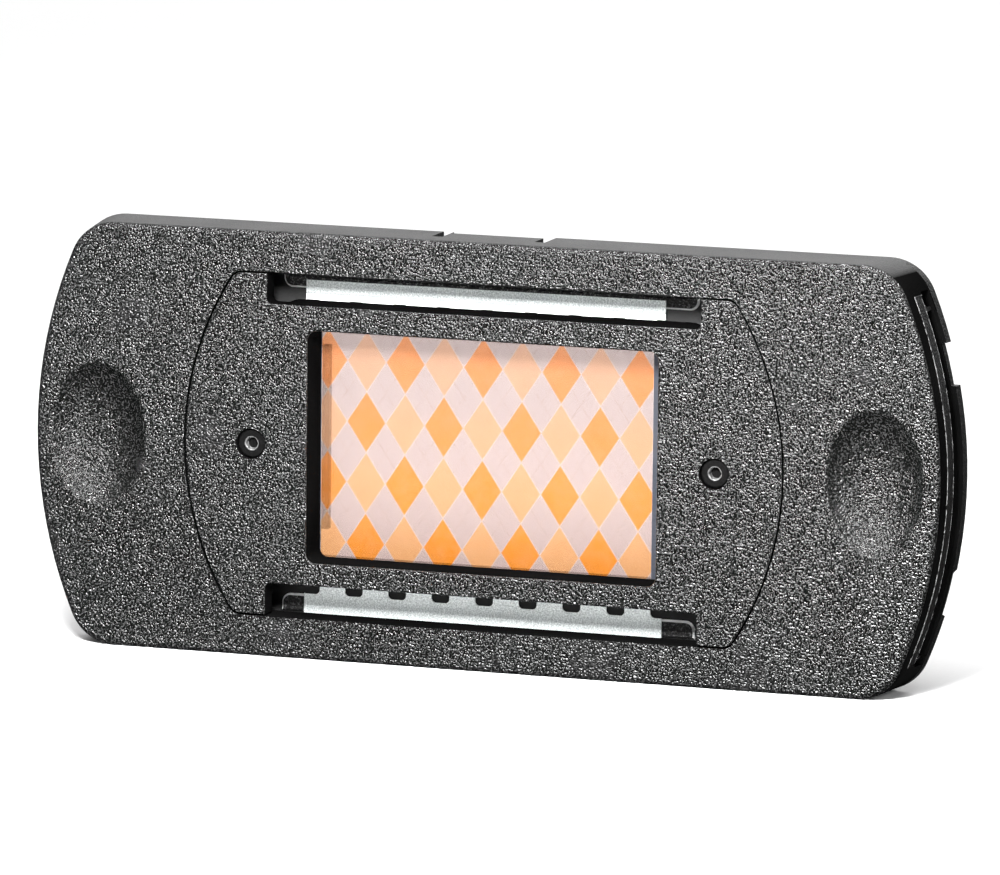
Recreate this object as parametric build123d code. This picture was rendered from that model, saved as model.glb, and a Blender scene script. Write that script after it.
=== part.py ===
from build123d import *
import os

# A slim holder for one frame of 35 mm film, standing on its long edge.
# X runs along the holder, Y from the front face to the rear, Z up. Every depth is
# measured behind the front face, and every height from the holder's middle line.

# The holder as closed, in mm.
body_height = 44.6
body_thickness = 6.9
front_end_radius = 48.8
rear_end_radius = 49.9
body_corner = 5.0
front_edge_round = 0.5
rear_edge_chamfer = 0.12
parting_depth = 5.4

# The 35 mm film chip. Its frame of film is cut from a strip, through a perforation
# at each end.
film_length = 38.94
film_height = 35.0
film_thickness = 0.15
film_shift = -1.17
film_drop = 0.7
perforation_pitch = 4.75
perforation_width = 1.98
perforation_height = 2.79
perforation_corner = 0.5
perforation_margin = 2.01
perforation_offset = 0.25
perforation_count = 9

# Clearances.
gate_clearance = 0.2
lug_clearance = 0.2
film_face_clearance = 0.05
film_edge_clearance = 0.05
film_top_clearance = 0.55
stage_clearance = 0.1
head_clearance = 0.1
shank_clearance = 0.05
pin_clearance = 0.03

# The gate: a plate that fills the round opening in the front, with a window, two
# finger notches, and a pressure frame behind it that keeps the film flat.
gate_radius = 32.25
gate_half_height = 17.85
gate_corner = 1.4
gate_plate_depth = 2.2
pressure_frame_depth = 4.38
pressure_frame_half_length = 23.2
pressure_frame_corner = 2.0
window_half_width = 18.93
window_half_height = 12.13
window_corner = 1.0
window_edge_round = 0.2
notch_half_length = 23.4
notch_top_height = 14.74
notch_bottom_height = -14.54
notch_corner = 0.55
gate_edge_round = 0.12

# Gate screws, M1.6 socket heads, and the brass inserts they turn in.
gate_screw_x = 25.05
gate_head_diameter = 3.0
gate_head_recess = 0.3
gate_head_height = 1.0
gate_shank_diameter = 1.6
gate_shank_end = 3.6
gate_head_chamfer = 0.15
hex_across_flats = 1.2
hex_depth = 0.7
hex_mouth_diameter = 1.45
insert_diameter = 2.3

# Lugs that the gate plate rests on, at each end of the opening.
lug_half_height = 9.5
front_wall = 3.7

# Thumb dimples near each end of the front face.
dimple_x = 42.0
dimple_width = 10.2
dimple_height = 14.8
dimple_depth = 2.2
dimple_lift = 1.0
dimple_edge_round = 0.5

# The film stage behind the film: a floor with an aperture, and a guide wall above
# and below the film's path.
stage_floor_depth = 4.95
guide_wall = 0.3
stage_left = -25.9
stage_floor_right = 43.0
stage_lead_in = 0.3
stage_aperture_left = -20.2
stage_aperture_right = 19.8
stage_aperture_half_height = 13.4
stage_aperture_corner = 0.8

# Rails on the stage that the film's edges run on.
rail_left = -23.2
rail_right = 21.8
rail_inner_top = 15.9
rail_inner_bottom = -16.3
rail_round = 1.0
rail_edge = 0.2

# The mouth in the right end, where the film goes in.
mouth_pocket_x = 42.0
mouth_pocket_top = 19.4
mouth_pocket_bottom = -19.2
mouth_bevel_start = 2.0
mouth_bevel_half_height = 19.0
mouth_bevel_inset = 0.12
cover_lip_depth = 5.7
cover_lip_inset = 0.2

# The rear cover: a thin floor, an aperture, and a raised rim with gaps in it.
cover_floor_depth = 6.0
rim_width = 2.6
rim_gap_inner = 9.63
rim_gap_outer = 14.0
rim_gap_slope = 0.3
rim_gap_cut = 0.7
rim_notch_depth = 5.9
cover_aperture_half_width = 19.6
cover_aperture_top = 12.7
cover_aperture_bottom = -12.3
cover_aperture_chamfer = 2.0
cover_frame_width = 1.4
cover_frame_depth = 6.4
tab_reach = 1.15
tab_top = 9.9
tab_bottom = -9.4

# Small pry notches in the long edges, where the two shells part.
pry_start_depth = 3.0
pry_depth = 0.7
pry_width = 1.1
pry_left = -6.5
pry_right = 4.6
pry_slope = 0.9

# Screws and pins that hold the rear cover on.
cover_screw_x = 30.0
cover_screw_z = 20.1
cover_head_diameter = 2.6
cover_head_depth = 6.1
cover_head_height = 0.65
cover_head_chamfer = 0.12
cover_shank_diameter = 1.4
cover_shank_end = 2.6
cover_pad_diameter = 5.2
slot_width = 0.4
slot_depth = 0.3
pin_x = 15.0
pin_z = 20.2
pin_diameter = 1.2
pin_start_depth = 3.4
pin_end_depth = 5.8

# Sizes that follow from the ones above.
front_y = -body_thickness / 2
middle_z = body_height / 2
half_height = body_height / 2
past = 2.0
film_bottom = -film_height / 2 - film_drop
film_top = film_bottom + film_height
channel_bottom = film_bottom - film_edge_clearance
channel_top = film_top + film_top_clearance
film_front_depth = pressure_frame_depth + film_face_clearance
film_rear_depth = film_front_depth + film_thickness
rail_front_depth = film_rear_depth + film_face_clearance
opening_radius = gate_radius + gate_clearance
opening_half_height = gate_half_height + gate_clearance
pocket_bottom = channel_bottom - guide_wall - stage_clearance
pocket_top = channel_top + guide_wall + stage_clearance
gate_counterbore = gate_head_diameter + 2 * head_clearance
gate_hole = gate_shank_diameter + 2 * shank_clearance
cover_counterbore = cover_head_diameter + 2 * head_clearance
cover_hole = cover_shank_diameter + 2 * shank_clearance


def at_depth(depth):
    """The drawing plane that faces forward, at a depth behind the front face."""
    return Plane(origin=(0, front_y + depth, middle_z), x_dir=(1, 0, 0), z_dir=(0, -1, 0))


def slab(outline, start, end):
    """A solid with this outline, seen from the front, between two depths."""
    return extrude(at_depth(end) * outline, amount=end - start)


def box_outline(left, right, bottom, top):
    return Pos((left + right) / 2, (bottom + top) / 2) * Rectangle(right - left, top - bottom)


def rounded_box_outline(left, right, bottom, top, corner):
    place = Pos((left + right) / 2, (bottom + top) / 2)
    return place * RectangleRounded(right - left, top - bottom, corner)


def cut_circle(radius, half, corner):
    """A circle cut off flat above and below, with rounded corners."""
    outline = Circle(radius) & Rectangle(2 * radius + past, 2 * half)
    return fillet(outline.vertices(), corner)


def end_radius(depth):
    """The holder's end radius, which grows a little from front to rear."""
    return front_end_radius + (rear_end_radius - front_end_radius) * depth / body_thickness


def disc(x, z, diameter, start, end):
    return slab(Pos(x, z) * Circle(diameter / 2), start, end)


def solid_of(shape):
    """The one solid in a shape."""
    return shape.solids().sort_by(SortBy.VOLUME)[-1]


# The blank that both shells are cut from: a shallow cone, cut flat above and below.
blank = at_depth(body_thickness) * Cone(
    rear_end_radius,
    front_end_radius,
    body_thickness,
    align=(Align.CENTER, Align.CENTER, Align.MIN),
)
blank &= slab(Rectangle(4 * rear_end_radius, body_height), 0, body_thickness)
corner_edges = blank.edges().filter_by(lambda e: e.bounding_box().size.Y > body_thickness / 2)
blank = fillet(corner_edges, body_corner)
blank = fillet(blank.faces().sort_by(Axis.Y)[0].edges(), front_edge_round)
blank = chamfer(blank.faces().sort_by(Axis.Y)[-1].edges(), rear_edge_chamfer)

whole_area = Rectangle(4 * rear_end_radius, 4 * half_height)

# Pry notches, two in each long edge, deepest at the rear.
for side in (-1, 1):
    for x in (pry_left, pry_right):
        ramp = Plane.YZ * Polygon(
            (front_y + pry_start_depth, middle_z + side * half_height),
            (front_y + body_thickness, middle_z + side * (half_height - pry_depth)),
            (front_y + body_thickness + past, middle_z + side * (half_height - pry_depth)),
            (front_y + body_thickness + past, middle_z + side * (half_height + past)),
            (front_y + pry_start_depth, middle_z + side * (half_height + past)),
            align=None,
        )
        ramp_block = extrude(ramp, amount=2 * rear_end_radius, both=True)
        sloped = Polygon(
            (x, side * (half_height - pry_depth)),
            (x + pry_width - pry_slope, side * (half_height - pry_depth)),
            (x + pry_width, side * half_height),
            (x + pry_width, side * (half_height + past)),
            (x, side * (half_height + past)),
            align=None,
        )
        blank -= ramp_block & slab(sloped, 0, body_thickness + past)

# Front shell: opening for the gate, lugs, film pocket and mouth.
front_shell = blank & slab(whole_area, -past, parting_depth)
opening = cut_circle(opening_radius, opening_half_height, gate_corner + gate_clearance)
front_shell -= slab(opening, -past, gate_plate_depth)
lug_inner = pressure_frame_half_length + lug_clearance
lugs = Sketch()
for side in (-1, 1):
    lugs += Pos(side * (lug_inner + opening_radius) / 2, 0) * Rectangle(
        opening_radius - lug_inner, 2 * lug_half_height
    )
front_shell -= slab(opening - lugs, gate_plate_depth, front_wall)
pocket_left = stage_left - stage_clearance
pocket = box_outline(pocket_left, 2 * rear_end_radius, pocket_bottom, pocket_top)
pocket += box_outline(
    mouth_pocket_x, 2 * rear_end_radius, mouth_pocket_bottom, mouth_pocket_top
)
front_shell -= slab(pocket, front_wall, parting_depth + past)

# The bevel that leads the film into the mouth follows the round end.
mouth_edge_radius = end_radius(front_wall) - mouth_bevel_inset
bevel_core = loft(
    [
        at_depth(mouth_bevel_start) * Circle(end_radius(mouth_bevel_start)),
        at_depth(front_wall) * Circle(mouth_edge_radius),
    ],
    ruled=True,
)
bevel_area = box_outline(
    mouth_pocket_x, 2 * rear_end_radius, -mouth_bevel_half_height, mouth_bevel_half_height
)
front_shell -= slab(bevel_area, mouth_bevel_start, front_wall) - bevel_core

for side in (-1, 1):
    bowl_scale = (1 - (dimple_lift / (dimple_depth + dimple_lift)) ** 2) ** 0.5
    bowl = scale(
        Sphere(1),
        by=(
            dimple_width / 2 / bowl_scale,
            dimple_depth + dimple_lift,
            dimple_height / 2 / bowl_scale,
        ),
    )
    front_shell -= Pos(side * dimple_x, front_y - dimple_lift, middle_z) * bowl
    dimple_edges = front_shell.edges().filter_by_position(
        Axis.X,
        side * dimple_x - dimple_width / 4,
        side * dimple_x + dimple_width / 4,
    )
    dimple_edges = dimple_edges.filter_by_position(
        Axis.Z, middle_z - dimple_height, middle_z + dimple_height
    )
    front_shell = fillet(
        dimple_edges.filter_by_position(Axis.Y, front_y - 0.01, front_y + 0.01),
        dimple_edge_round,
    )
    front_shell -= disc(
        side * gate_screw_x, 0, insert_diameter, gate_plate_depth - past, front_wall + past
    )
    for height in (-cover_screw_z, cover_screw_z):
        front_shell -= disc(
            side * cover_screw_x, height, cover_shank_diameter, cover_shank_end, body_thickness
        )
    front_shell -= disc(side * pin_x, -side * pin_z, pin_diameter, pin_start_depth, body_thickness)
front_shell = solid_of(front_shell)

# Rear cover: floor, rim with gaps, aperture with a tab, screw pads.
rear_cover = blank & slab(whole_area, parting_depth, body_thickness + past)
recess = cut_circle(rear_end_radius - rim_width, half_height - rim_width, body_corner - rim_width)
for x in (-cover_screw_x, cover_screw_x):
    for height in (-cover_screw_z, cover_screw_z):
        recess -= Pos(x, height) * Circle(cover_pad_diameter / 2)
aperture = box_outline(
    -cover_aperture_half_width,
    cover_aperture_half_width,
    cover_aperture_bottom,
    cover_aperture_top,
)
aperture_frame = box_outline(
    -cover_aperture_half_width - cover_frame_width,
    cover_aperture_half_width + cover_frame_width,
    cover_aperture_bottom - cover_frame_width,
    cover_aperture_top + cover_frame_width,
)
low_right = aperture.vertices().sort_by(Axis.X)[-2:].sort_by(Axis.Y)[0]
aperture = chamfer(low_right, cover_aperture_chamfer)
aperture -= box_outline(
    -cover_aperture_half_width - past,
    -cover_aperture_half_width + tab_reach,
    tab_bottom,
    tab_top,
)
rear_cover -= slab(recess - aperture_frame, cover_floor_depth, body_thickness + past)
rear_cover -= slab(aperture_frame, cover_frame_depth, body_thickness + past)
rear_cover -= slab(aperture, parting_depth - past, body_thickness + past)
for side in (-1, 1):
    for end in (-1, 1):
        gap = Plane.YZ * Polygon(
            (front_y + cover_floor_depth, middle_z + side * rim_gap_inner),
            (front_y + cover_floor_depth, middle_z + side * rim_gap_outer),
            (front_y + body_thickness, middle_z + side * (rim_gap_outer + rim_gap_slope)),
            (front_y + body_thickness + past, middle_z + side * (rim_gap_outer + rim_gap_slope)),
            (front_y + body_thickness + past, middle_z + side * (rim_gap_inner - rim_gap_slope)),
            (front_y + body_thickness, middle_z + side * (rim_gap_inner - rim_gap_slope)),
            align=None,
        )
        rear_cover -= Pos(end * (rear_end_radius - rim_width - past), 0, 0) * extrude(
            gap, amount=end * 3 * rim_width + end * past
        )
    rear_cover -= slab(
        box_outline(
            pry_left + pry_width,
            pry_right,
            min(side * (half_height - rim_width - past), side * (half_height + past)),
            max(side * (half_height - rim_width - past), side * (half_height + past)),
        ),
        rim_notch_depth,
        body_thickness + past,
    )
    for height in (-cover_screw_z, cover_screw_z):
        rear_cover -= disc(
            side * cover_screw_x, height, cover_hole, parting_depth - past, body_thickness + past
        )
        rear_cover -= disc(
            side * cover_screw_x,
            height,
            cover_counterbore,
            cover_head_depth,
            body_thickness + past,
        )
    rear_cover -= disc(
        side * pin_x,
        -side * pin_z,
        pin_diameter + 2 * pin_clearance,
        parting_depth - past,
        pin_end_depth,
    )
# The two upper gaps are cut through to the parting line at the very edge.
edge_cut = box_outline(
    -2 * rear_end_radius, 2 * rear_end_radius, rim_gap_inner, rim_gap_outer
) - Circle(rear_end_radius - rim_gap_cut)
rear_cover -= slab(edge_cut, parting_depth - past, body_thickness + past)
lip_core = loft(
    [
        at_depth(parting_depth) * Circle(end_radius(parting_depth) - cover_lip_inset),
        at_depth(cover_lip_depth) * Circle(end_radius(cover_lip_depth)),
    ],
    ruled=True,
)
lip_area = box_outline(mouth_pocket_x, 2 * rear_end_radius, channel_bottom, channel_top)
rear_cover -= slab(lip_area, parting_depth, cover_lip_depth) - lip_core
rear_cover = solid_of(rear_cover)

# Gate plate with its window, finger notches and pressure frame.
gate_outline = cut_circle(gate_radius, gate_half_height, gate_corner)
gate_outline -= rounded_box_outline(
    -notch_half_length,
    notch_half_length,
    notch_top_height,
    3 * gate_half_height,
    notch_corner,
)
gate_outline -= rounded_box_outline(
    -notch_half_length,
    notch_half_length,
    -3 * gate_half_height,
    notch_bottom_height,
    notch_corner,
)
gate_plate = slab(gate_outline, 0, gate_plate_depth)
gate_plate += slab(
    rounded_box_outline(
        -pressure_frame_half_length,
        pressure_frame_half_length,
        notch_bottom_height,
        notch_top_height,
        pressure_frame_corner,
    ),
    gate_plate_depth,
    pressure_frame_depth,
)
gate_plate -= slab(
    RectangleRounded(2 * window_half_width, 2 * window_half_height, window_corner),
    -past,
    pressure_frame_depth + past,
)
gate_face = gate_plate.faces().sort_by(Axis.Y)[0]
gate_plate = fillet(gate_face.inner_wires()[0].edges(), window_edge_round)
gate_face = gate_plate.faces().sort_by(Axis.Y)[0]
gate_plate = fillet(gate_face.outer_wire().edges(), gate_edge_round)
for side in (-1, 1):
    gate_plate -= disc(
        side * gate_screw_x,
        0,
        gate_counterbore,
        -past,
        gate_head_recess + gate_head_height,
    )
    gate_plate -= disc(side * gate_screw_x, 0, gate_hole, -past, gate_plate_depth + past)
gate_plate = solid_of(gate_plate)


def film_rail(inner, outer):
    """A rail between two heights, rounded at both ends of its inner edge."""
    outline = box_outline(rail_left, rail_right, min(inner, outer), max(inner, outer))
    corners = outline.vertices().filter_by(lambda v: abs(v.Y - inner) < rail_edge)
    rail = slab(fillet(corners, rail_round), rail_front_depth, stage_floor_depth)
    return solid_of(chamfer(rail.faces().sort_by(Axis.Y)[0].edges(), rail_edge))


# Film stage: floor, guide walls, aperture, sloped end at the mouth.
guide_top = channel_top + guide_wall
guide_bottom = channel_bottom - guide_wall
film_stage = slab(
    box_outline(stage_left, stage_floor_right, guide_bottom, guide_top),
    stage_floor_depth,
    parting_depth,
)
stage_end = film_stage.faces().sort_by(Axis.X)[-1].edges().sort_by(Axis.Y)[0]
film_stage = chamfer(stage_end, stage_lead_in)
guides = box_outline(stage_left, 2 * rear_end_radius, channel_top, guide_top)
guides += box_outline(stage_left, 2 * rear_end_radius, guide_bottom, channel_bottom)
guide_core = slab(Circle(mouth_edge_radius), front_wall, parting_depth)
film_stage += slab(guides, front_wall, parting_depth) & guide_core
film_stage -= slab(
    rounded_box_outline(
        stage_aperture_left,
        stage_aperture_right,
        -stage_aperture_half_height,
        stage_aperture_half_height,
        stage_aperture_corner,
    ),
    stage_floor_depth - past,
    parting_depth + past,
)
film_stage = solid_of(film_stage)

# Film rails and the film chip.
film_rail_top = film_rail(rail_inner_top, channel_top - stage_clearance)
film_rail_bottom = film_rail(rail_inner_bottom, channel_bottom + stage_clearance)
film_outline = box_outline(
    film_shift - film_length / 2, film_shift + film_length / 2, film_bottom, film_top
)
perforation = RectangleRounded(perforation_width, perforation_height, perforation_corner)
row_height = film_height / 2 - perforation_margin - perforation_height / 2
film_middle = (film_bottom + film_top) / 2
for number in range(perforation_count):
    step = number - (perforation_count - 1) / 2
    x = film_shift + perforation_offset + step * perforation_pitch
    film_outline -= Pos(x, film_middle + row_height) * perforation
    film_outline -= Pos(x, film_middle - row_height) * perforation
film_chip = slab(film_outline, film_front_depth, film_rear_depth)


def gate_screw(x):
    """A socket-head screw that holds the gate plate."""
    head_end = gate_head_recess + gate_head_height
    screw = disc(x, 0, gate_head_diameter, gate_head_recess, head_end)
    top_edge = screw.faces().sort_by(Axis.Y)[0].edges()
    screw = chamfer(top_edge, gate_head_chamfer)
    screw += disc(x, 0, gate_shank_diameter, head_end, gate_shank_end)
    hexagon = RegularPolygon(hex_across_flats / 2, 6, major_radius=False)
    screw -= slab(Pos(x, 0) * hexagon, gate_head_recess - past, gate_head_recess + hex_depth)
    mouth_depth = (hex_mouth_diameter - hex_across_flats) / 2
    screw -= loft(
        [
            at_depth(gate_head_recess) * Pos(x, 0) * Circle(hex_mouth_diameter / 2),
            at_depth(gate_head_recess + mouth_depth) * Pos(x, 0) * Circle(hex_across_flats / 2),
        ],
        ruled=True,
    )
    return solid_of(screw)


def thread_insert(x):
    """A brass sleeve in a lug, for a gate screw."""
    sleeve = disc(x, 0, insert_diameter, gate_plate_depth, front_wall)
    return solid_of(sleeve - disc(x, 0, gate_hole, 0, body_thickness))


def cover_screw(x, z):
    """A slotted screw through the rear cover into the front shell."""
    head_end = cover_head_depth + cover_head_height
    screw = disc(x, z, cover_head_diameter, cover_head_depth, head_end)
    rear_edge = screw.faces().sort_by(Axis.Y)[-1].edges()
    screw = chamfer(rear_edge, cover_head_chamfer)
    screw += disc(x, z, cover_shank_diameter, cover_shank_end, cover_head_depth)
    groove = Pos(x, z) * Rectangle(2 * cover_head_diameter, slot_width)
    return solid_of(screw - slab(groove, head_end - slot_depth, body_thickness + past))


def dowel_pin(x, z):
    """A pin that lines up the two shells."""
    return disc(x, z, pin_diameter, pin_start_depth, pin_end_depth - pin_clearance)


pieces = {
    "front_shell": front_shell,
    "rear_cover": rear_cover,
    "gate_plate": gate_plate,
    "gate_screw_left": gate_screw(-gate_screw_x),
    "gate_screw_right": gate_screw(gate_screw_x),
    "thread_insert_left": thread_insert(-gate_screw_x),
    "thread_insert_right": thread_insert(gate_screw_x),
    "film_stage": film_stage,
    "film_rail_top": film_rail_top,
    "film_rail_bottom": film_rail_bottom,
    "film_chip": film_chip,
    "cover_screw_top_left": cover_screw(-cover_screw_x, cover_screw_z),
    "cover_screw_top_right": cover_screw(cover_screw_x, cover_screw_z),
    "cover_screw_bottom_left": cover_screw(-cover_screw_x, -cover_screw_z),
    "cover_screw_bottom_right": cover_screw(cover_screw_x, -cover_screw_z),
    "dowel_pin_left": dowel_pin(-pin_x, pin_z),
    "dowel_pin_right": dowel_pin(pin_x, -pin_z),
}

os.makedirs("parts", exist_ok=True)
for name, piece in pieces.items():
    piece.label = name
    export_step(piece, f"parts/{name}.step")
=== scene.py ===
import math

import bpy
from mathutils import Matrix, Vector


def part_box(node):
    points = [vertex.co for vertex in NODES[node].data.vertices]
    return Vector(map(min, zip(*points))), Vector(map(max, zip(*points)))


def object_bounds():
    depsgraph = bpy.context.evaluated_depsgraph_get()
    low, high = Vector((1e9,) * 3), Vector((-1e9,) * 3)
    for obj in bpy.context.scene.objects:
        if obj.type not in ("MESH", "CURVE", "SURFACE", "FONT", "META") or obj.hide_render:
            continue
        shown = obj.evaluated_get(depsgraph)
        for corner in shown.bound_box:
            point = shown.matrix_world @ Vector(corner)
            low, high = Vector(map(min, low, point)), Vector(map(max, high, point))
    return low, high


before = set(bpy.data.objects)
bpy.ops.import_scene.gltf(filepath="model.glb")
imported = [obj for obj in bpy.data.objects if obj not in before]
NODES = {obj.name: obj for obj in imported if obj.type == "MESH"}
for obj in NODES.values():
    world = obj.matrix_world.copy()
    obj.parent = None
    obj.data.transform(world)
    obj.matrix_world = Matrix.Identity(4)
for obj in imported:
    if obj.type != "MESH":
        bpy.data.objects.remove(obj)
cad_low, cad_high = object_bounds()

MM = 0.001

# Camera, as angles and distances round the object.
CAMERA_AZIMUTH = 18.303
CAMERA_ELEVATION = 9.265
CAMERA_ROLL = 0.653
CAMERA_DISTANCE = 883.66 * MM
CAMERA_LENS = 310.59
CAMERA_TARGET = Vector((2.10, -3.45, 24.634)) * MM

STUDIO_DARK = 0.08
STUDIO_BRIGHT = 1.0

# Grain of the moulded front, and of the plainer walls. The front's grain stops at a depth.
GRAIN_SIZE = 0.19 * MM
GRAIN_HEIGHT = 0.18 * MM
FINE_GRAIN_SIZE = 0.35 * GRAIN_SIZE
FINE_GRAIN_SHARE = 0.06
GRAIN_DEPTH_LIMIT = 2.4 * MM
WALL_GRAIN_HEIGHT = 0.012 * MM
PATCH_SIZE = 9 * MM
WALL_SHINE = 0.0
FULL_SHINE = 0.5

# The long top edge: a faint grain starts below it and is whole nearer to it.
LONG_EDGE_START = 1.2 * MM
LONG_EDGE_FULL = 0.8 * MM
LONG_EDGE_GRAIN = 0.3

# What shows at the mouth in the right end, past this radius and within this half height:
# the bevel between two depths, with painted highlights as light grey lines at its edges, and the
# rear rim from its depth.
MOUTH_RADIUS = 48.3 * MM
MOUTH_HALF_HEIGHT = 19.0 * MM
BEVEL_FRONT = 2.0 * MM
BEVEL_REAR = 3.7 * MM
RIM_START = 5.7 * MM
MOUTH_HIGHLIGHT_BAND = (0.06 * MM, 0.12 * MM)
MOUTH_HIGHLIGHT_PATCH_SIZE = 0.4 * MM
MOUTH_HIGHLIGHT_GREY = 0.40

# Bright worn rings: round a gate screw's socket, and round a cover screw's head.
HEX_RING = (0.60 * MM, 0.72 * MM)
HEAD_RING = (1.20 * MM, 1.40 * MM)
RING_BLUR = 0.05 * MM
RING_GREY = 0.30

# Height of the fine relief on the smaller pieces.
STEEL_GRAIN_HEIGHT = 0.008 * MM
DRAWN_MARK_HEIGHT = 0.006 * MM
STAGE_GRAIN_HEIGHT = 0.015 * MM
RAIL_GRIT_HEIGHT = 0.08 * MM

# The picture on the film: lozenges in columns and rows.
FRAME_WIDTH = 36.0 * MM
FRAME_HEIGHT = 24.0 * MM
FRAME_SHIFT = 0.30 * MM
LOZENGE_WIDTH = 4.23 * MM
LOZENGE_HEIGHT = 6.37 * MM
LOZENGE_X = -9.72 * MM
LOZENGE_Z = 30.94 * MM
MARGIN_LINE = 1.36 * MM
FRAME_BLUR = 0.03 * MM
# The film's glow is painted light, standing in for light shining through the film from behind.
BASE_GLOW = 0.10
PICTURE_GLOW = 0.10
FILM_CLEARNESS = 0.80
FILM_IOR = 1.45


class Graph:
    """A short way to write a material's nodes."""

    def __init__(self, name):
        self.material = bpy.data.materials.new(name)
        self.material.use_nodes = True
        self.tree = self.material.node_tree
        self.shader = self.tree.nodes["Principled BSDF"]

    def node(self, kind, **settings):
        made = self.tree.nodes.new(kind)
        for key, value in settings.items():
            setattr(made, key, value)
        return made

    def put(self, socket, value):
        if isinstance(value, bpy.types.NodeSocket):
            self.tree.links.new(value, socket)
        else:
            socket.default_value = value

    def math(self, operation, a, b=None, c=None, clamp=False):
        made = self.node("ShaderNodeMath", operation=operation, use_clamp=clamp)
        for socket, value in zip(made.inputs, (a, b, c)):
            if value is not None:
                self.put(socket, value)
        return made.outputs[0]

    def mix(self, factor, a, b):
        made = self.node("ShaderNodeMix", data_type="RGBA")
        self.put(made.inputs["Factor"], factor)
        self.put(made.inputs["A"], a)
        self.put(made.inputs["B"], b)
        return made.outputs["Result"]

    def ramp(self, value, stops, interpolation="LINEAR"):
        made = self.node("ShaderNodeValToRGB")
        made.color_ramp.interpolation = interpolation
        elements = made.color_ramp.elements
        while len(elements) < len(stops):
            elements.new(0.5)
        for element, (place, level) in zip(elements, stops):
            element.position = place
            element.color = (*level, 1) if isinstance(level, tuple) else (level, level, level, 1)
        self.put(made.inputs[0], value)
        return made.outputs[0]

    def range(self, value, low, high, to_low=0.0, to_high=1.0, smooth=False):
        made = self.node("ShaderNodeMapRange", clamp=True)
        if smooth:
            made.interpolation_type = "SMOOTHSTEP"
        for key, number in zip((1, 2, 3, 4), (low, high, to_low, to_high)):
            self.put(made.inputs[key], number)
        self.put(made.inputs[0], value)
        return made.outputs[0]

    def place(self):
        """Object coordinates, as one vector and as X, Y and Z."""
        made = self.node("ShaderNodeTexCoord")
        parts = self.node("ShaderNodeSeparateXYZ")
        self.put(parts.inputs[0], made.outputs["Object"])
        return made.outputs["Object"], parts.outputs

    def facing(self):
        """The surface's own direction, as X, Y and Z."""
        made = self.node("ShaderNodeNewGeometry")
        parts = self.node("ShaderNodeSeparateXYZ")
        self.put(parts.inputs[0], made.outputs["True Normal"])
        return parts.outputs

    def noise(self, vector, size, detail=2.0, roughness=0.5, distortion=0.0):
        made = self.node("ShaderNodeTexNoise")
        self.put(made.inputs["Vector"], vector)
        self.put(made.inputs["Scale"], 1 / size)
        self.put(made.inputs["Detail"], detail)
        self.put(made.inputs["Roughness"], roughness)
        self.put(made.inputs["Distortion"], distortion)
        return made.outputs["Fac"]

    def bump(self, height):
        """Raises the surface by a height in metres."""
        made = self.node("ShaderNodeBump")
        self.put(made.inputs["Strength"], 1.0)
        self.put(made.inputs["Distance"], 1.0)
        self.put(made.inputs["Height"], height)
        return made.outputs[0]

    def set(self, **sockets):
        for key, value in sockets.items():
            self.put(self.shader.inputs[key.replace("_", " ")], value)
        return self.material


def grey(level):
    return (level, level, level, 1)


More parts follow.
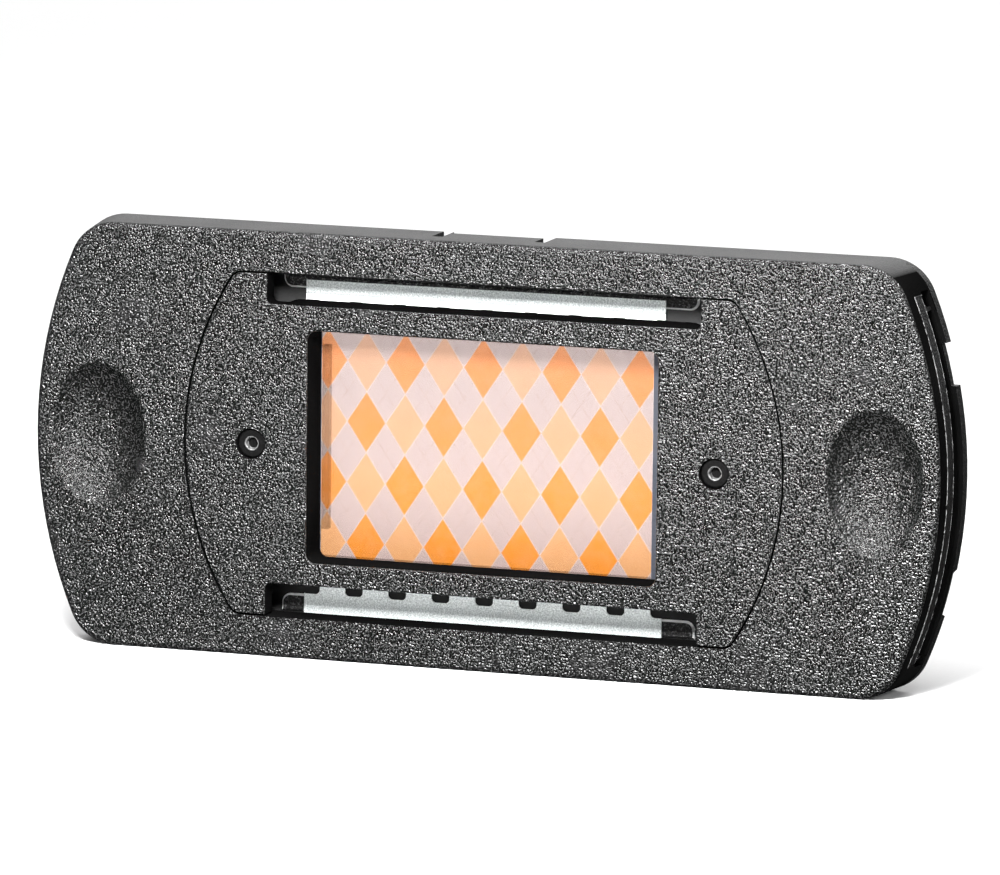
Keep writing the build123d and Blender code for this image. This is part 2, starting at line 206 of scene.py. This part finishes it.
def moulded_body(name):
    """Black moulded plastic: coarse grain on the outer faces, a fine one on the walls, and
    painted highlights along the edges of the mouth's bevel.
    """
    g = Graph(name)
    spot, at = g.place()
    normal = g.facing()
    depth = g.math("SUBTRACT", at["Y"], cad_low.y)
    middle_height = (cad_low.z + cad_high.z) / 2
    outside_front = g.range(depth, GRAIN_DEPTH_LIMIT, GRAIN_DEPTH_LIMIT + 0.05 * MM, 1.0, 0.0)
    faces_front = g.range(g.math("MULTIPLY", normal["Y"], -1.0), 0.30, 0.50)
    faces_rear = g.range(normal["Y"], 0.90, 0.98)
    skin = g.math("MAXIMUM", g.math("MULTIPLY", faces_front, outside_front), faces_rear)
    up = g.math("ABSOLUTE", g.math("SUBTRACT", at["Z"], middle_height))
    squares = g.math("ADD", g.math("MULTIPLY", at["X"], at["X"]), g.math("MULTIPLY", up, up))
    on_rim = g.range(g.math("SQRT", squares), MOUTH_RADIUS, MOUTH_RADIUS + 0.1 * MM)
    in_mouth = g.math(
        "MULTIPLY",
        g.math("MULTIPLY", on_rim, g.range(at["X"], 0.0, 1 * MM)),
        g.range(up, MOUTH_HALF_HEIGHT, MOUTH_HALF_HEIGHT + 0.1 * MM, 1.0, 0.0),
    )
    bevel = g.math(
        "MULTIPLY",
        in_mouth,
        g.math(
            "MULTIPLY",
            g.range(depth, BEVEL_FRONT, BEVEL_FRONT + 0.05 * MM),
            g.range(depth, BEVEL_REAR + 0.02 * MM, BEVEL_REAR + 0.05 * MM, 1.0, 0.0),
        ),
    )
    from_front = g.math("ABSOLUTE", g.math("SUBTRACT", depth, BEVEL_FRONT))
    from_rear = g.math("ABSOLUTE", g.math("SUBTRACT", depth, BEVEL_REAR))
    edges = g.math("MINIMUM", from_front, from_rear)
    # Painted highlights: thin light grey lines at the bevel's front and rear edges, broken up by
    # noise, stand in for glints on those edges.
    wear_and_highlight = g.math("MULTIPLY", in_mouth, g.range(edges, *MOUTH_HIGHLIGHT_BAND, 1.0, 0.0))
    wear_and_highlight_noise = g.noise(spot, MOUTH_HIGHLIGHT_PATCH_SIZE)
    long_edge = g.range(at["Z"], cad_high.z - LONG_EDGE_START, cad_high.z - LONG_EDGE_FULL)
    rear_rim = g.math("MULTIPLY", on_rim, g.range(depth, RIM_START, RIM_START + 0.05 * MM))
    shiny = g.math("MAXIMUM", g.math("MAXIMUM", skin, bevel), rear_rim)
    textured = g.math("MAXIMUM", shiny, g.math("MULTIPLY", long_edge, LONG_EDGE_GRAIN))
    coarse = g.noise(spot, GRAIN_SIZE, 0.0)
    fine = g.noise(spot, FINE_GRAIN_SIZE, 2.0, 0.6)
    patches = g.noise(spot, PATCH_SIZE)
    grain = g.math("MULTIPLY_ADD", fine, FINE_GRAIN_SHARE, coarse)
    height = g.math(
        "ADD",
        g.math("MULTIPLY", g.math("MULTIPLY", grain, GRAIN_HEIGHT), textured),
        g.math(
            "MULTIPLY",
            g.math("MULTIPLY", fine, WALL_GRAIN_HEIGHT),
            g.math("SUBTRACT", 1.0, skin),
        ),
    )
    grain_colour = g.ramp(coarse, [(0.38, 0.001), (0.52, 0.004), (0.64, 0.022)])
    wall_colour = g.mix(g.range(patches, 0.3, 0.7), grey(0.002), grey(0.004))
    rough = g.math(
        "ADD",
        g.range(skin, 0.0, 1.0, 0.50, 0.25),
        g.range(patches, 0.3, 0.7, -0.03, 0.03),
    )
    outer = g.math("MAXIMUM", shiny, long_edge)
    colour = g.mix(skin, wall_colour, grain_colour)
    colour = g.mix(g.math("MULTIPLY", wear_and_highlight, g.range(wear_and_highlight_noise, 0.35, 0.60)), colour, grey(MOUTH_HIGHLIGHT_GREY))
    return g.set(
        Base_Color=colour,
        Roughness=rough,
        Specular_IOR_Level=g.range(outer, 0.0, 1.0, WALL_SHINE, FULL_SHINE),
        Normal=g.bump(height),
    )


def black_steel(name, node, ring_low, ring_high):
    """Blackened steel, bright where a key has worn the ring between two radii."""
    g = Graph(name)
    spot, at = g.place()
    low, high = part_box(node)
    middle = (low + high) / 2
    across = g.math("SUBTRACT", at["X"], middle.x)
    up = g.math("SUBTRACT", at["Z"], middle.z)
    radius = g.math(
        "SQRT", g.math("ADD", g.math("MULTIPLY", across, across), g.math("MULTIPLY", up, up))
    )
    ring = g.math(
        "MULTIPLY",
        g.range(radius, ring_low - RING_BLUR, ring_low + RING_BLUR),
        g.range(radius, ring_high - RING_BLUR, ring_high + RING_BLUR, 1.0, 0.0),
    )
    fine = g.noise(spot, 0.18 * MM, 3.0, 0.6)
    wear_and_highlight_noise = g.noise(spot, 0.5 * MM, 2.0, 0.5)
    wear_and_highlight = g.math("MULTIPLY", ring, g.range(wear_and_highlight_noise, 0.30, 0.55, 0.35, 1.0))
    black = g.ramp(fine, [(0.3, 0.001), (0.7, 0.003)])
    return g.set(
        Base_Color=g.mix(wear_and_highlight, black, grey(RING_GREY)),
        Metallic=g.math("MULTIPLY", wear_and_highlight, 0.9),
        Roughness=g.range(wear_and_highlight_noise, 0.3, 0.7, 0.50, 0.62),
        Specular_IOR_Level=g.range(wear_and_highlight, 0.0, 1.0, 0.10, FULL_SHINE),
        Normal=g.bump(g.math("MULTIPLY", fine, STEEL_GRAIN_HEIGHT)),
    )


def plain_metal(name, dark, light, roughness):
    """Bare metal with fine drawn marks."""
    g = Graph(name)
    spot, _ = g.place()
    stretch = g.node("ShaderNodeMapping")
    g.put(stretch.inputs["Vector"], spot)
    g.put(stretch.inputs["Scale"], (1.0, 0.15, 1.0))
    marks = g.noise(stretch.outputs[0], 0.12 * MM, 3.0, 0.6)
    return g.set(
        Base_Color=g.mix(g.range(marks, 0.3, 0.7), dark, light),
        Metallic=1.0,
        Roughness=g.range(marks, 0.3, 0.7, roughness, roughness + 0.15),
        Normal=g.bump(g.math("MULTIPLY", marks, DRAWN_MARK_HEIGHT)),
    )


def stage_black(name):
    """Flat black moulding inside the holder."""
    g = Graph(name)
    spot, _ = g.place()
    fine = g.noise(spot, 0.2 * MM, 3.0, 0.6)
    return g.set(
        Base_Color=g.ramp(fine, [(0.3, 0.003), (0.7, 0.010)]),
        Roughness=g.range(fine, 0.3, 0.7, 0.45, 0.6),
        Normal=g.bump(g.math("MULTIPLY", fine, STAGE_GRAIN_HEIGHT)),
    )


def rail_grit_and_highlight(name):
    """Film rail: blasted on top. Where its rim turns down it is painted near-white, a painted
    highlight standing in for the glint on its polished edge.
    """
    g = Graph(name)
    spot, at = g.place()
    normal = g.facing()
    top = g.range(g.math("MULTIPLY", normal["Y"], -1.0), 0.90, 0.99)
    side = g.math("SIGN", g.math("SUBTRACT", at["Z"], (cad_low.z + cad_high.z) / 2))
    outward = g.range(g.math("MULTIPLY", normal["Z"], side), 0.2, 0.4)
    top = g.math("MAXIMUM", top, outward)
    grit = g.noise(spot, 0.22 * MM, 3.0, 0.65, 0.4)
    grit_colour = g.ramp(grit, [(0.38, 0.006), (0.55, 0.03), (0.70, 0.22)])
    return g.set(
        # Painted highlight: faces that point neither to the front nor outward get a near-white
        # colour.
        Base_Color=g.mix(top, grey(0.90), grit_colour),
        Metallic=g.math("MULTIPLY", top, 0.4),
        Roughness=g.range(top, 0.0, 1.0, 0.35, 0.45),
        Normal=g.bump(g.math("MULTIPLY", g.math("MULTIPLY", grit, RAIL_GRIT_HEIGHT), top)),
    )


def lozenge_film_and_glow(name):
    """The film: a lozenge print inside its frame and a hazy clear base outside it, both glowing a
    little as painted light.
    """
    low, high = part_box("film_chip")
    middle_x = (low.x + high.x) / 2 + FRAME_SHIFT
    middle_z = (low.z + high.z) / 2 + FRAME_SHIFT
    g = Graph(name)
    spot, at = g.place()
    x, z = at["X"], at["Z"]

    column = g.math("DIVIDE", g.math("SUBTRACT", x, LOZENGE_X), LOZENGE_WIDTH)
    row = g.math("DIVIDE", g.math("SUBTRACT", z, LOZENGE_Z), LOZENGE_HEIGHT)
    column_near = g.math("ROUND", column)
    row_near = g.math("ROUND", row)
    across = g.math("ABSOLUTE", g.math("SUBTRACT", column, column_near))
    up = g.math("ABSOLUTE", g.math("SUBTRACT", row, row_near))
    edge = g.math("SUBTRACT", 0.5, g.math("ADD", across, up))
    inside = g.range(edge, -0.004, 0.006)
    outline = g.range(g.math("ABSOLUTE", edge), 0.006, 0.030, 1.0, 0.0)
    parity = g.math("FLOORED_MODULO", g.math("ADD", column_near, row_near), 2.0)
    strong = g.range(parity, 0.4, 0.6, 1.0, 0.0)

    rise = g.math("ADD", column, row)
    fall = g.math("SUBTRACT", column, row)
    stitch_up = g.math("ABSOLUTE", g.math("SUBTRACT", rise, g.math("ROUND", rise)))
    stitch_down = g.math("ABSOLUTE", g.math("SUBTRACT", fall, g.math("ROUND", fall)))
    stitch = g.range(g.math("MINIMUM", stitch_up, stitch_down), 0.008, 0.022, 1.0, 0.0)
    broken = g.range(g.noise(spot, 0.5 * MM, 2.0), 0.35, 0.6)
    stitch = g.math("MULTIPLY", g.math("MULTIPLY", stitch, broken), 0.35)

    height = g.range(z, middle_z - FRAME_HEIGHT / 2, middle_z + FRAME_HEIGHT / 2)
    strong_colour = g.mix(height, (0.55, 0.192, 0.018, 1), (0.55, 0.232, 0.106, 1))
    light_colour = g.mix(height, (0.50, 0.258, 0.110, 1), (0.49, 0.305, 0.218, 1))
    ground = g.mix(height, (0.385, 0.297, 0.278, 1), (0.415, 0.345, 0.333, 1))
    lozenge = g.mix(strong, light_colour, strong_colour)
    mottle = g.noise(spot, 1.3 * MM, 4.0, 0.65)
    lozenge = g.mix(g.range(mottle, 0.35, 0.7, 0.0, 0.18), lozenge, (0.56, 0.34, 0.21, 1))
    ground = g.mix(stitch, ground, (0.29, 0.19, 0.15, 1))
    picture = g.mix(inside, ground, lozenge)
    picture = g.mix(g.math("MULTIPLY", outline, 0.35), picture, (0.52, 0.46, 0.44, 1))
    specks = g.range(g.noise(spot, 0.16 * MM, 2.0, 0.5), 0.70, 0.76, 0.0, 0.30)
    picture = g.mix(specks, picture, (0.55, 0.36, 0.25, 1))

    from_middle_x = g.math("ABSOLUTE", g.math("SUBTRACT", x, middle_x))
    beyond_ends = g.range(from_middle_x, FRAME_WIDTH / 2 - FRAME_BLUR, FRAME_WIDTH / 2)
    from_middle_z = g.math("ABSOLUTE", g.math("SUBTRACT", z, middle_z))
    in_x = g.range(from_middle_x, FRAME_WIDTH / 2 - FRAME_BLUR, FRAME_WIDTH / 2, 1.0, 0.0)
    in_z = g.range(from_middle_z, FRAME_HEIGHT / 2 - FRAME_BLUR, FRAME_HEIGHT / 2, 1.0, 0.0)
    in_frame = g.math("MULTIPLY", in_x, in_z)

    grit = g.noise(spot, 0.16 * MM, 3.0, 0.6)
    base = g.mix(g.range(grit, 0.35, 0.65), (0.40, 0.43, 0.43, 1), (0.80, 0.84, 0.83, 1))
    from_top = g.math("SUBTRACT", high.z, z)
    below_line = g.range(from_top, MARGIN_LINE - FRAME_BLUR, MARGIN_LINE + FRAME_BLUR)
    line = g.range(
        g.math("ABSOLUTE", g.math("SUBTRACT", from_top, MARGIN_LINE)),
        0.04 * MM,
        0.09 * MM,
        1.0,
        0.0,
    )
    upper = g.range(z, middle_z, middle_z + 1 * MM)
    base = g.mix(g.math("MULTIPLY", below_line, upper), base, (0.92, 0.93, 0.93, 1))
    base = g.mix(g.math("MULTIPLY", line, 0.8), base, (0.30, 0.32, 0.32, 1))
    between_rows = g.range(from_middle_z, FRAME_HEIGHT / 2, FRAME_HEIGHT / 2 + 0.5 * MM, 1.0, 0.0)
    ends = g.math("MULTIPLY", beyond_ends, between_rows)
    base = g.mix(g.math("MULTIPLY", ends, 0.97), base, (0.015, 0.017, 0.026, 1))
    colour = g.mix(in_frame, base, picture)

    return g.set(
        Base_Color=colour,
        Roughness=g.range(mottle, 0.3, 0.7, 0.10, 0.18),
        Transmission_Weight=g.math("MULTIPLY", in_frame, FILM_CLEARNESS),
        # Painted light: the film glows in its own colours.
        Emission_Color=colour,
        Emission_Strength=g.range(in_frame, 0.0, 1.0, BASE_GLOW, PICTURE_GLOW),
        IOR=FILM_IOR,
    )


materials = {
    "body": moulded_body("moulded_body"),
    "brass": plain_metal("insert_brass", (0.55, 0.37, 0.13, 1), (0.78, 0.58, 0.26, 1), 0.28),
    "pin": plain_metal("pin_steel", grey(0.42), grey(0.62), 0.22),
    "stage": stage_black("stage_black"),
    "rail": rail_grit_and_highlight("rail_steel"),
    "film": lozenge_film_and_glow("glowing_film_print"),
}
finishes = {
    "front_shell": "body",
    "rear_cover": "body",
    "gate_plate": "body",
    "thread_insert_left": "brass",
    "thread_insert_right": "brass",
    "film_stage": "stage",
    "film_rail_top": "rail",
    "film_rail_bottom": "rail",
    "film_chip": "film",
    "dowel_pin_left": "pin",
    "dowel_pin_right": "pin",
}
for node_name, finish in finishes.items():
    mesh = NODES[node_name].data
    mesh.materials.clear()
    mesh.materials.append(materials[finish])
for node_name in NODES:
    if "screw" in node_name:
        ring = HEX_RING if node_name.startswith("gate") else HEAD_RING
        mesh = NODES[node_name].data
        mesh.materials.clear()
        mesh.materials.append(black_steel("black_" + node_name, node_name, *ring))


def look_from(azimuth, elevation, distance, target):
    """A place round the target: azimuth 0 is in front, and it grows towards +X."""
    a, e = math.radians(azimuth), math.radians(elevation)
    away = Vector((math.sin(a) * math.cos(e), -math.cos(a) * math.cos(e), math.sin(e)))
    return target + away * distance


def aim(obj, target, roll=0.0):
    """Turns a camera or light, which looks along its own -Z, to face a point."""
    away = (obj.location - target).normalized()
    right = Vector((0, 0, 1)).cross(away).normalized()
    up = away.cross(right)
    turned_right = right * math.cos(roll) + up * math.sin(roll)
    turned_up = up * math.cos(roll) - right * math.sin(roll)
    rotation = Matrix((turned_right, turned_up, away)).transposed()
    obj.rotation_euler = rotation.to_euler()


camera_data = bpy.data.cameras.new("camera")
camera_data.sensor_width = 36.0
camera_data.lens = CAMERA_LENS
camera_data.clip_start = 0.01
camera_data.clip_end = 50.0
camera = bpy.data.objects.new("camera", camera_data)
bpy.context.scene.collection.objects.link(camera)
camera.location = look_from(CAMERA_AZIMUTH, CAMERA_ELEVATION, CAMERA_DISTANCE, CAMERA_TARGET)
aim(camera, CAMERA_TARGET, math.radians(CAMERA_ROLL))
bpy.context.scene.camera = camera


def floor():
    """A pale floor that is flat round the object."""
    size = 6.0
    mesh = bpy.data.meshes.new("floor")
    corners = [(-size, -size, 0), (size, -size, 0), (size, size, 0), (-size, size, 0)]
    mesh.from_pydata(corners, [], [(0, 1, 2, 3)])
    made = bpy.data.objects.new("floor", mesh)
    bpy.context.scene.collection.objects.link(made)
    g = Graph("floor_paper")
    spot, _ = g.place()
    fibre = g.noise(spot, 0.6 * MM, 3.0, 0.6)
    g.set(
        Base_Color=g.mix(g.range(fibre, 0.3, 0.7), grey(0.90), grey(0.93)),
        Roughness=g.range(fibre, 0.3, 0.7, 0.75, 0.85),
    )
    mesh.materials.append(g.material)
    made.visible_glossy = False


floor()


def light(name, azimuth, elevation, distance, size, power, target=CAMERA_TARGET):
    data = bpy.data.lights.new(name, "AREA")
    data.shape = "RECTANGLE"
    data.size, data.size_y = size
    data.energy = power
    made = bpy.data.objects.new(name, data)
    bpy.context.scene.collection.objects.link(made)
    made.location = look_from(azimuth, elevation, distance, target)
    made.visible_camera = False
    aim(made, target)


# Each light: azimuth and elevation in degrees, distance and size in metres, power in watts.
# The front light is small and close, so its light falls off across the front.
light("overhead", 0, 72, 0.90, (1.0, 0.5), 9)
light("front", 7, 34, 0.190, (0.058, 0.046), 1.60)
light("fill", -8, 8, 1.20, (0.60, 0.30), 1.5)
light("side", 72, 28, 1.00, (0.40, 0.40), 3)
light("rear_floor", 180, 50, 1.6, (1.6, 0.8), 14, Vector((0.0, 0.5, 0.0)))
light("rear_low", 198, 14, 1.1, (1.6, 0.25), 2.4)

# The studio is dark round the lights, but bright where the camera looks past them.
world = bpy.data.worlds.new("studio")
world.use_nodes = True
tree = world.node_tree
background = tree.nodes["Background"]
background.inputs["Color"].default_value = (1, 1, 1, 1)
path = tree.nodes.new("ShaderNodeLightPath")
straight = tree.nodes.new("ShaderNodeMath")
straight.operation = "MAXIMUM"
tree.links.new(path.outputs["Is Camera Ray"], straight.inputs[0])
tree.links.new(path.outputs["Is Transmission Ray"], straight.inputs[1])
level = tree.nodes.new("ShaderNodeMapRange")
level.inputs["To Min"].default_value = STUDIO_DARK
level.inputs["To Max"].default_value = STUDIO_BRIGHT
tree.links.new(straight.outputs[0], level.inputs["Value"])
tree.links.new(level.outputs[0], background.inputs["Strength"])
bpy.context.scene.world = world
bpy.context.scene.view_settings.view_transform = "Standard"
